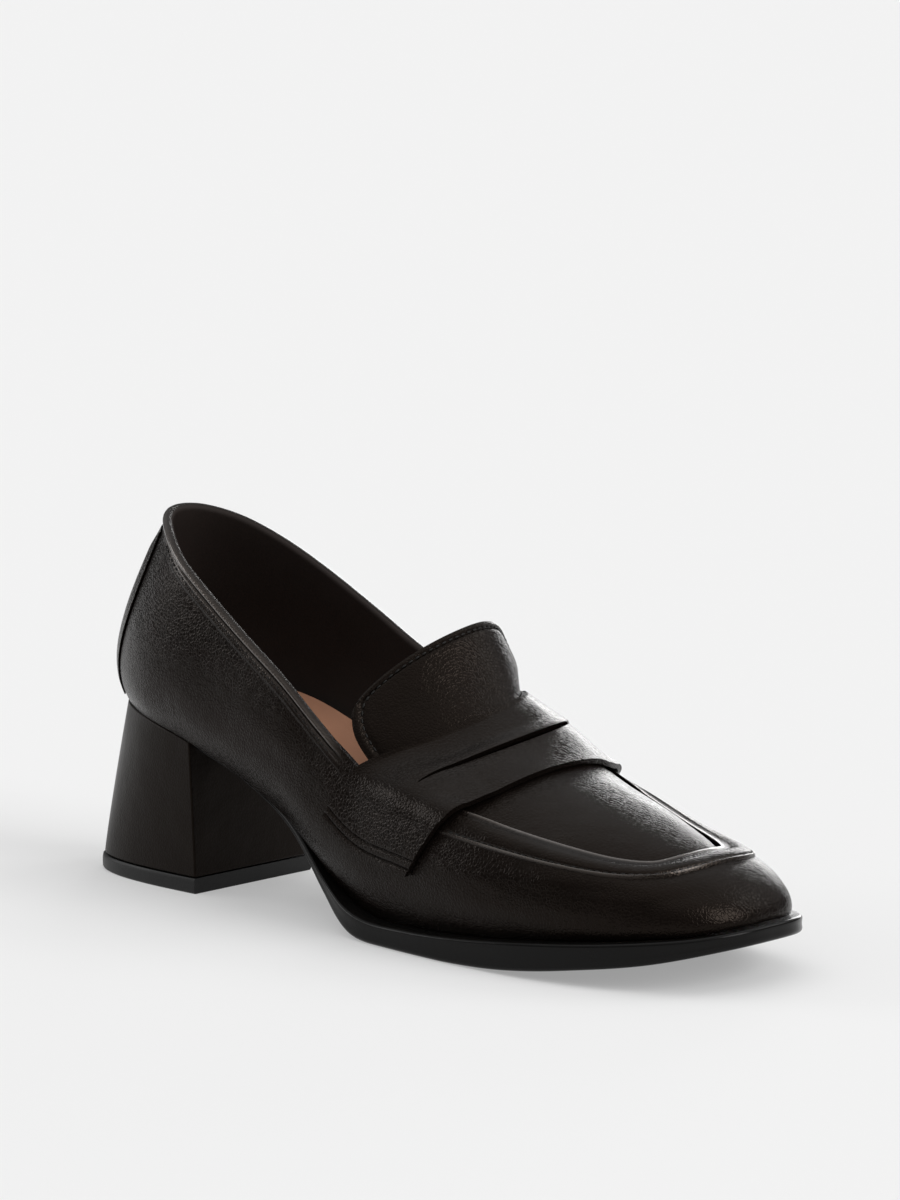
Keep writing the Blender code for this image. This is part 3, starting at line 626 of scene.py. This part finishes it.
def makeTongue():
    size = tongueSizes
    # More columns near its two sides
    across = np.sin(np.linspace(-math.pi / 2, math.pi / 2, size["columns"] + 1))
    rise = np.linspace(0, 1, size["rows"] + 1)[:, None] * np.ones_like(across)
    reach = tongueReach(across)
    height = size["start"] + rise * (reach - size["start"])
    points = tongueForm(height, np.broadcast_to(across, height.shape))
    # The turned edge stands a little proud of the row of stitches
    fromSide = (1 - np.abs(across))[None, :] * size["halfWidth"]
    inset = np.minimum(fromSide, (1 - rise) * reach * size["height"])
    high = size["bead"] * hump(inset, *size["beadBand"]) - size["groove"] * hump(inset, *size["grooveBand"])
    high += size["waves"] * rough(points, 16.0, 21.0)
    bm = newSheets()
    addSheet(bm, points, np.full(high.shape, -size["wall"]), high)
    thicken(bm, Vector((0, 0, 1)))
    piece = finishPiece("tongueLeather", bm, [calf, liningFabric], "tongue")
    roundEdges(piece, 0.4, 3)
    return piece


tongue = makeTongue()

# The saddle strap

strapSizes = {
    "wall": 1.6, "gap": 0.45, "waves": 0.10,
    "rearTop": 8.12, "rearLow": 8.72, "frontTop": 5.85, "frontLow": 6.85,
    "dropRear": 0.48, "dropFront": 0.58,
    "lip": 0.524, "slotEnd": 0.012, "slotDepth": 0.03, "slotHalf": 0.96, "lipRise": 1.1, "lipRows": 9,
    "overRidge": 1.7, "ridgeEnd": 6.4, "ridgeGone": 10.0,
    "bendKept": 5.0, "bendGone": 10.0, "bendRounds": 22, "bendLift": 0.35, "bendSpread": 2.7,
    "sewn": (0.90, 0.78), "groove": 0.6, "grooveWidth": 0.45, "downLength": 26.0,
    "wallColumns": 72, "topColumns": 72, "rearRows": 24, "frontRows": 20,
}


def strapShares(across):
    size = strapSizes
    depth = size["slotEnd"] + size["slotDepth"] * max(0.0, 1 - (across / size["slotHalf"])**2)
    rear = np.linspace(0, size["lip"], size["rearRows"] + 1)
    return np.concatenate([rear, np.linspace(size["lip"] + depth, 1, size["frontRows"] + 1)])


def strapOnWall(share, rows):
    # Stations and drops of one line of the strap, share 0 at the top edge and 1 at its low end
    size = strapSizes
    rear = size["rearTop"] + (size["rearLow"] - size["rearTop"]) * share
    front = size["frontTop"] + (size["frontLow"] - size["frontTop"]) * share
    drop = share * (size["dropRear"] + (size["dropFront"] - size["dropRear"]) * rows)
    return rear + (front - rear) * rows, drop


def strapSide(side, down):
    # Lines down one side, with their lift where the seam runs under them
    size = strapSizes
    lines, lifts = [], []
    for share in down:
        station, drop = strapOnWall(share, strapShares(1.0))
        below = np.array([wallLength(spot * side)[1][-1] for spot in station]) * drop
        overSeam = 1 - softFade(below, size["ridgeEnd"], size["ridgeGone"])
        lines.append(wall(station * side, 1 - drop))
        lifts.append(size["overRidge"] * seamShare(station) * overSeam)
    return lines, lifts


def strapTop(across):
    # Lines over the plug; the lip of the slot stands proud
    size = strapSizes
    lines, lifts = [], []
    for place in across[1:-1]:
        rows = strapShares(place)
        station = size["rearTop"] + (size["frontTop"] - size["rearTop"]) * rows
        lines.append(topSurface(station, np.full_like(station, place)))
        order = np.arange(len(rows))
        openShare = max(0.0, 1 - (place / size["slotHalf"])**2)
        lipFall = softFade(order, size["rearRows"] - size["lipRows"], size["rearRows"])
        proud = size["lipRise"] * openShare**0.6 * lipFall * (order <= size["rearRows"])
        lifts.append(proud + size["overRidge"] * seamShare(station) * fade(abs(place), 0.75, 1.1))
    return lines, lifts


def makeStrap():
    size = strapSizes
    down = np.linspace(1, 0, size["wallColumns"] + 1)
    across = np.linspace(-1, 1, size["topColumns"] + 1)
    near, top, far = strapSide(1, down), strapTop(across), strapSide(-1, down)
    points = np.array(near[0] + top[0] + far[0][::-1])
    low = np.array(near[1] + top[1] + far[1][::-1]) + size["gap"]
    first, count = len(down), len(across) - 2
    # It bends over the seam in one soft curve instead of following the channel beside it
    place = np.arange(len(points), dtype=float)
    onTop = (place >= first) & (place < len(points) - first)
    fineness = size["wallColumns"] / size["topColumns"] * size["bendSpread"]
    edges = np.minimum(np.abs(place - (first - 0.5)), np.abs(place - (len(points) - first - 0.5)))
    bent = 1 - softFade(np.where(onTop, edges, edges / fineness), size["bendKept"], size["bendGone"])
    for _ in range(size["bendRounds"]):
        smoother = points.copy()
        smoother[1:-1] = (points[:-2] + points[2:]) / 2
        points = points + (smoother - points) * (0.5 * bent)[:, None, None]
    low = low + (size["bendLift"] * bent)[:, None]
    high = low + size["wall"] + size["waves"] * rough(points, 14.0, 31.0)
    # Two sewn rows draw the leather in above each low end
    along = down * size["downLength"]
    for share in size["sewn"]:
        groove = size["groove"] * hump(along, share * size["downLength"], size["grooveWidth"])
        high[:first] -= groove[:, None]
        high[-first:] -= groove[::-1, None]

    def inSlot(col, row):
        middle = (col - first + 1.5) / (count + 1) * 2 - 1
        return row == size["rearRows"] and abs(middle) < size["slotHalf"]

    bm = newSheets()
    addSheet(bm, points, low, high, inSlot)
    thicken(bm, Vector((0, 0, 1)))
    piece = finishPiece("saddleStrap", bm, [calf, edgePaint], "saddle_strap")
    roundEdges(piece, 0.35, 2)
    return piece


strap = makeStrap()

# The backstay over the seam of the heel

backstaySizes = {
    "wall": 0.9, "gap": 0.3, "half": 1.45, "low": 0.03, "high": 0.915, "waist": 0.82,
    "edge": 0.3, "pare": 0.3, "endPare": 2.6, "waves": 0.04, "rows": 40, "columns": 32,
}


def makeBackstay():
    size = backstaySizes
    heights = np.linspace(size["low"], size["high"], size["rows"] + 1)
    height, place = np.meshgrid(heights, np.linspace(-1, 1, size["columns"] + 1), indexing="ij")
    half = size["half"] * (size["waist"] + (1 - size["waist"]) * np.sin(np.pi * height))
    points = wall(back + half * place, height)
    low = np.full(height.shape, size["gap"])
    # Its edges are pared thin
    ends = np.minimum(height - size["low"], size["high"] - height)
    inset = np.minimum(1 - np.abs(place), size["endPare"] * ends)
    pared = size["edge"] + (1 - size["edge"]) * softFade(inset, 0.0, size["pare"])
    thick = (size["wall"] + size["waves"] * rough(points, 12.0, 41.0)) * pared
    bm = newSheets()
    addSheet(bm, points, low, low + thick)
    thicken(bm, Vector((-1, 0, 0)))
    finishPiece("backstayStrip", bm, [calf, edgePaint], "backstay")


makeBackstay()

# The outsole

soleSizes = {
    "gap": 0.3, "bevelTop": 0.9, "bevelTread": 1.4, "bevelShare": 0.3, "bulge": 0.12,
    "bevelSteps": 4, "edgeSteps": 4, "acrossSteps": 8,
}
# Place along the shoe, and how far the sole stands out there
soleLedge = (
    (-3.0, 0.0), (92.0, 0.3), (106.0, 3.0), (118.0, 5.2),
    (138.0, 5.6), (180.0, 4.8), (225.0, 3.8), (250.0, 2.6),
)
# Place along the shoe, and height of the tread over the floor
soleTread = (
    (43.0, 43.2), (64.0, 36.0), (86.0, 25.0), (97.0, 16.8), (106.0, 9.6), (114.0, 4.2), (121.0, 1.1),
    (129.0, 0.0), (140.0, 0.0), (160.0, 0.0), (180.0, 0.9), (192.0, 2.2), (206.0, 4.3), (228.0, 8.0),
    (248.0, 13.0),
)


def valueAt(rows, x):
    # Smooth curve through the rows
    rows = np.array(rows, float)
    x = np.clip(np.asarray(x, float), rows[0, 0], rows[-1, 0])
    first = np.clip(np.searchsorted(rows[:, 0], x) - 1, 0, len(rows) - 2)
    slope = np.gradient(rows[:, 1], rows[:, 0])
    width = rows[first + 1, 0] - rows[first, 0]
    step = (x - rows[first, 0]) / width
    return (
        (2 * step**3 - 3 * step**2 + 1) * rows[first, 1]
        + (step**3 - 2 * step**2 + step) * slope[first] * width
        + (3 * step**2 - 2 * step**3) * rows[first + 1, 1]
        + (step**3 - step**2) * slope[first + 1] * width
    )


def soleSide(station):
    # Profile of the edge from the top face to the tread, with round shoulders
    size = soleSizes
    start, out = feather(station), outward(station)
    edge = start + out * valueAt(soleLedge, start[0])
    top, bottom = start[2] - size["gap"], max(float(valueAt(soleTread, edge[0])), 0.0)
    above = min(size["bevelTop"], size["bevelShare"] * (top - bottom))
    below = min(size["bevelTread"], size["bevelShare"] * (top - bottom))
    profile = []
    for step in np.linspace(0, 1, size["bevelSteps"] + 1):
        turn = step * math.pi / 2
        profile.append((above * (1 - math.sin(turn)), top - above * (1 - math.cos(turn))))
    straight = top - bottom - above - below
    for step in np.linspace(0, 1, size["edgeSteps"] + 1)[1:-1]:
        profile.append((size["bulge"] * math.sin(step * math.pi), top - above - straight * step))
    for step in np.linspace(0, 1, size["bevelSteps"] + 1):
        turn = step * math.pi / 2
        profile.append((below * (1 - math.cos(turn)), bottom + below * (1 - math.sin(turn))))
    return [np.array([edge[0] - out[0] * inset, edge[1] - out[1] * inset, z]) for inset, z in profile]


def soleLoop(station):
    steps = soleSizes["acrossSteps"]
    right, left = soleSide(station), soleSide(-station)
    over = [right[0] + (left[0] - right[0]) * k / steps for k in range(steps)]
    under = [left[-1] + (right[-1] - left[-1]) * k / steps for k in range(steps)]
    return over + left[:-1] + under + right[:0:-1]


def makeSole():
    # The loops lie closer together towards the toe
    stations = np.concatenate([
        np.linspace(breast - 0.04, throat + 2, 22)[:-1], np.linspace(throat + 2, 1.5, 84)[:-1],
        np.linspace(1.5, 0.2, 22), [0.12, 0.06, 0.0],
    ])
    bm = loftLoops([soleLoop(station) for station in stations], caps=(True, False))
    bmesh.ops.remove_doubles(bm, verts=bm.verts, dist=0.01)
    bmesh.ops.dissolve_degenerate(bm, edges=bm.edges, dist=0.005)
    bmesh.ops.recalc_face_normals(bm, faces=bm.faces)
    bm.normal_update()
    for face in bm.faces:
        if face.normal.z < -0.93:
            face.material_index = 1
    finishPiece("outsoleBody", bm, [soleFinish, treadFinish], "outsole", sharp=0.7)


makeSole()

# The heel, its cover and the top piece

heelSizes = {
    "breastBase": 46.3, "halfWidth": 24.5, "roundBack": 0.72, "roundSide": 0.62, "flare": 1.1,
    "topPiece": 4.6, "gap": 0.3, "coverInset": 0.8, "points": 121, "levels": 26,
}
# Height of the top piece, and how far its side is drawn in there
topPieceProfile = ((0.0, 0.9), (0.25, 0.35), (0.7, 0.0), (2.0, -0.05), (3.4, 0.0), (4.3, 0.2), (4.6, 0.6))


def heelShares():
    # Round the heel from 0 to 1, with more points near the two corners of the breast
    even = np.linspace(0, 1, heelSizes["points"])
    return 0.5 * (1 - np.cos(math.pi * even)) / 2 + 0.5 * even


def heelBase(share, drop):
    size = heelSizes
    angle = np.pi * share
    depth = size["breastBase"] - heelBackBase - drop
    x = size["breastBase"] - depth * np.abs(np.sin(angle))**size["roundBack"]
    side = np.sign(np.cos(angle)) * np.abs(np.cos(angle))**size["roundSide"]
    return x, -(size["halfWidth"] - drop / 2) * side


def heelLoop(drop, z):
    share = heelShares()
    return np.stack([*heelBase(share, drop), np.full_like(share, z)], -1)


def makeHeel():
    size = heelSizes
    seat = feather(breast + (aroundCount - 2 * breast) * heelShares())
    seat[..., 2] -= size["gap"]
    base = heelLoop(size["coverInset"], size["topPiece"] + size["gap"])
    loops = []
    for height in np.linspace(0, 1, size["levels"]):
        draw = height**size["flare"]
        loops.append(base + (seat - base) * np.array([draw, draw, height]))
    bm = loftLoops(loops)
    piece = finishPiece("heelCover", bm, [heelCalf], "heel_block", sharp=0.8)
    roundEdges(piece, 0.5, 3, 0.8)


def makeTopPiece():
    bm = loftLoops([heelLoop(drop, z) for z, drop in topPieceProfile])
    finishPiece("topPieceBody", bm, [rubberFinish], "top_piece", sharp=0.8)


makeHeel()
makeTopPiece()

# The sock inside

sockSizes = {
    "height": 2.6, "inset": 2.9, "cupRight": 3.0, "cupLeft": 7.0, "lean": 0.45,
    "archStart": (7.5, 9.5), "archEnd": (11.5, 15.4), "edgeFall": 0.9, "columns": 36,
}


def makeSock():
    size = sockSizes
    across = np.linspace(-1, 1, size["columns"] + 1)
    stations = np.concatenate([
        np.linspace(0, 2, 16), np.linspace(2, 14, 74)[1:], np.linspace(14, back, 16)[1:],
    ])
    loops = []
    for station in stations:
        right = feather(station) - outward(station) * size["inset"]
        left = feather(-station) - outward(-station) * size["inset"]
        arch = softFade(station, *size["archStart"]) * (1 - softFade(station, *size["archEnd"]))
        cup = arch * np.where(across < 0, size["cupRight"], size["cupLeft"]) * np.abs(across)**3
        row = right + (left - right) * ((1 + across) / 2)[:, None]
        out = np.where((across < 0)[:, None], outward(station), outward(-station))
        # Its edge is thinner than its middle
        height = size["height"] - size["edgeFall"] * np.abs(across)**24
        top = row + out * size["lean"] * cup[:, None] + (height + cup)[:, None] * up
        loops.append(np.concatenate([top, row[::-1]]))
    bm = loftLoops(loops, caps=(False, False))
    bmesh.ops.remove_doubles(bm, verts=bm.verts, dist=0.01)
    bmesh.ops.dissolve_degenerate(bm, edges=bm.edges, dist=0.005)
    bmesh.ops.recalc_face_normals(bm, faces=bm.faces)
    finishPiece("sockLiner", bm, [sockLeather], "insole")


makeSock()

# Stitches: one short thread for each, laid on the leather

stitchSizes = {"pitch": 2.3, "length": 1.7, "radius": 0.3, "flat": 0.8, "sink": 0.12, "probe": 0.4}
stitchLines = {
    "seamBelow": 5.45, "seamEnd": 5.95, "collarBelow": 4.5, "collarEnds": (8.75, 14.0),
    "tongueAcross": 0.94, "tongueRise": 0.945, "tongueFoot": 0.15, "strapRows": (0.05, 0.94),
}


def surfaceOf(piece):
    bm = bmesh.new()
    bm.from_mesh(piece.data)
    tree = BVHTree.FromBMesh(bm)
    bm.free()
    return tree


def toFrame(points):
    return (np.asarray(points) + frameShift) * mm


def layStitches(bm, tree, path):
    # path in millimetres; each stitch is a slim grain that lies on the surface under it
    size = stitchSizes
    points = toFrame(path)
    steps = np.linalg.norm(np.diff(points, axis=0), axis=1)
    lengths = np.concatenate([[0.0], np.cumsum(steps)])
    count = max(2, int(lengths[-1] / (size["pitch"] * mm)))
    shape = np.array([size["length"] / 2, size["radius"], size["radius"] * size["flat"]]) * mm
    for place in (np.arange(count) + 0.5) / count * lengths[-1]:
        ends = []
        for offset in (-size["probe"] * mm, size["probe"] * mm):
            ends.append(Vector([np.interp(place + offset, lengths, points[:, k]) for k in range(3)]))
        spot, normal, _, _ = tree.find_nearest((ends[0] + ends[1]) / 2)
        along = ends[1] - ends[0]
        along = (along - normal * along.dot(normal)).normalized()
        turn = Matrix((along, normal.cross(along), normal)).transposed().to_4x4()
        moved = Matrix.Translation(spot + normal * size["sink"] * mm)
        placed = moved @ turn @ Matrix.Diagonal((*shape, 1.0))
        bmesh.ops.create_uvsphere(bm, u_segments=8, v_segments=6, radius=1.0, matrix=placed)


def sewPiece(name, tree, paths):
    bm = bmesh.new()
    for path in paths:
        layStitches(bm, tree, path)
    makePiece(name, bm, [threadFinish])


def edgePath(below, firstStation, lastStation, count):
    stations = np.linspace(firstStation, lastStation, count)
    return np.array([wallBelow(station, [below])[0] for station in stations])


def tonguePath():
    # Up one side, over the top and down the other
    even = np.sin(np.linspace(-math.pi / 2, math.pi / 2, 90))
    spread = even * stitchLines["tongueAcross"]
    over = tongueReach(even) * stitchLines["tongueRise"]
    sides = np.linspace(stitchLines["tongueFoot"], over[0], 12)[:-1]
    return np.concatenate([
        tongueForm(sides, np.full_like(sides, spread[0])), tongueForm(over, spread),
        tongueForm(sides[::-1], np.full_like(sides, spread[-1])),
    ])


def strapPath(side, share):
    station, drop = strapOnWall(share, np.linspace(*stitchLines["strapRows"], 40))
    return wall(station * side, 1 - drop)


def makeStitches():
    size = stitchLines
    mirrored = [aroundCount - station for station in size["collarEnds"][::-1]]
    collarPaths = [edgePath(size["collarBelow"], *ends, 160) for ends in (size["collarEnds"], mirrored)]
    upperTree = surfaceOf(upper)
    sewPiece("seamStitches", upperTree, [edgePath(size["seamBelow"], -size["seamEnd"], size["seamEnd"], 260)])
    sewPiece("collarStitches", upperTree, collarPaths)
    sewPiece("tongueStitches", surfaceOf(tongue), [tonguePath()])
    strapPaths = [strapPath(side, share) for side in (1, -1) for share in strapSizes["sewn"]]
    sewPiece("strapStitches", surfaceOf(strap), strapPaths)


makeStitches()

# Studio

studio = {
    "target": (125.0, 0.0, 45.0), "azimuth": 43.0, "elevation": 10.5, "distance": 1300.0,
    "lens": 136.5, "sensor": 36.0, "near": 0.05, "far": 60.0, "aimRight": 1.1, "aimUp": 47.5,
    "horizon": 0.05, "ceiling": 0.80, "wallGlow": 0.12, "ceilingGlow": 0.60,
    "floorSize": 20.0, "floorTone": 0.535, "floorGlow": 0.31, "floorRoughness": 0.9,
}
azimuth = math.radians(studio["azimuth"])
viewRight = Vector((math.cos(azimuth), math.sin(azimuth), 0.0))
viewAway = Vector((-math.sin(azimuth), math.cos(azimuth), 0.0))


def makeCamera():
    elevation = math.radians(studio["elevation"])
    toCamera = viewAway * -math.cos(elevation) + Vector((0, 0, math.sin(elevation)))
    lift = toCamera.cross(viewRight)
    target = Vector(toFrame(studio["target"]))
    eye = target + toCamera * studio["distance"] * mm
    aim = target + (viewRight * studio["aimRight"] + lift * studio["aimUp"]) * mm
    data = bpy.data.cameras.new("studioCamera")
    data.lens = studio["lens"]
    data.sensor_width = studio["sensor"]
    data.clip_start = studio["near"]
    data.clip_end = studio["far"]
    camera = bpy.data.objects.new("studioCamera", data)
    camera.location = eye
    camera.rotation_euler = (aim - eye).to_track_quat("-Z", "Y").to_euler()
    bpy.context.scene.collection.objects.link(camera)
    bpy.context.scene.camera = camera


# Name, direction it comes from (right of the camera, away from it, up), strength, width in degrees
sunRows = (
    ("plugSun", (0.22, 0.95, 0.18), 0.55, 22.0),
    ("tongueSun", (0.75, 0.28, 0.58), 0.30, 24.0),
    ("toeSun", (0.67, -0.49, 0.46), 1.70, 36.0),
    ("topSun", (0.0, 0.1, 1.0), 0.60, 80.0),
    ("heelSun", (-1.0, 0.35, 0.35), 0.45, 24.0),
)


def makeLights():
    for name, (sideways, deep, high), strength, width in sunRows:
        data = bpy.data.lights.new(name, "SUN")
        data.energy = strength
        data.angle = math.radians(width)
        lamp = bpy.data.objects.new(name, data)
        source = viewRight * sideways + viewAway * deep + Vector((0, 0, high))
        lamp.rotation_euler = source.to_track_quat("Z", "Y").to_euler()
        lamp.location = source
        bpy.context.scene.collection.objects.link(lamp)
    world = bpy.data.worlds.new("paleStudio")
    bpy.context.scene.world = world
    world.use_nodes = True
    # Dim walls under a brighter ceiling
    add = nodeMaker(world)
    background = world.node_tree.nodes["Background"]
    way = add("ShaderNodeTexCoord").outputs["Generated"]
    height = add("ShaderNodeSeparateXYZ", Vector=way).outputs["Z"]
    glow = add(
        "ShaderNodeMapRange", {"interpolation_type": "SMOOTHSTEP"}, Value=height,
        From_Min=studio["horizon"], From_Max=studio["ceiling"],
        To_Min=studio["wallGlow"], To_Max=studio["ceilingGlow"],
    )
    world.node_tree.links.new(glow.outputs["Result"], background.inputs["Strength"])
    background.inputs["Color"].default_value = (1.0, 1.0, 1.0, 1.0)


def makeFloor():
    bm = bmesh.new()
    bmesh.ops.create_grid(bm, x_segments=1, y_segments=1, size=studio["floorSize"])
    mesh = bpy.data.meshes.new("studioFloor")
    bm.to_mesh(mesh)
    bm.free()
    material = bpy.data.materials.new("paleFloor")
    material.use_nodes = True
    shader = material.node_tree.nodes["Principled BSDF"]
    shader.inputs["Base Color"].default_value = (*[studio["floorTone"]] * 3, 1.0)
    shader.inputs["Emission Color"].default_value = (1.0, 1.0, 1.0, 1.0)
    shader.inputs["Emission Strength"].default_value = studio["floorGlow"]
    shader.inputs["Roughness"].default_value = studio["floorRoughness"]
    shader.inputs["Specular IOR Level"].default_value = 0.0
    mesh.materials.append(material)
    floor = bpy.data.objects.new("studioFloor", mesh)
    bpy.context.scene.collection.objects.link(floor)


makeCamera()
makeLights()
makeFloor()
bpy.context.scene.view_settings.view_transform = "Standard"
print("studio ready")
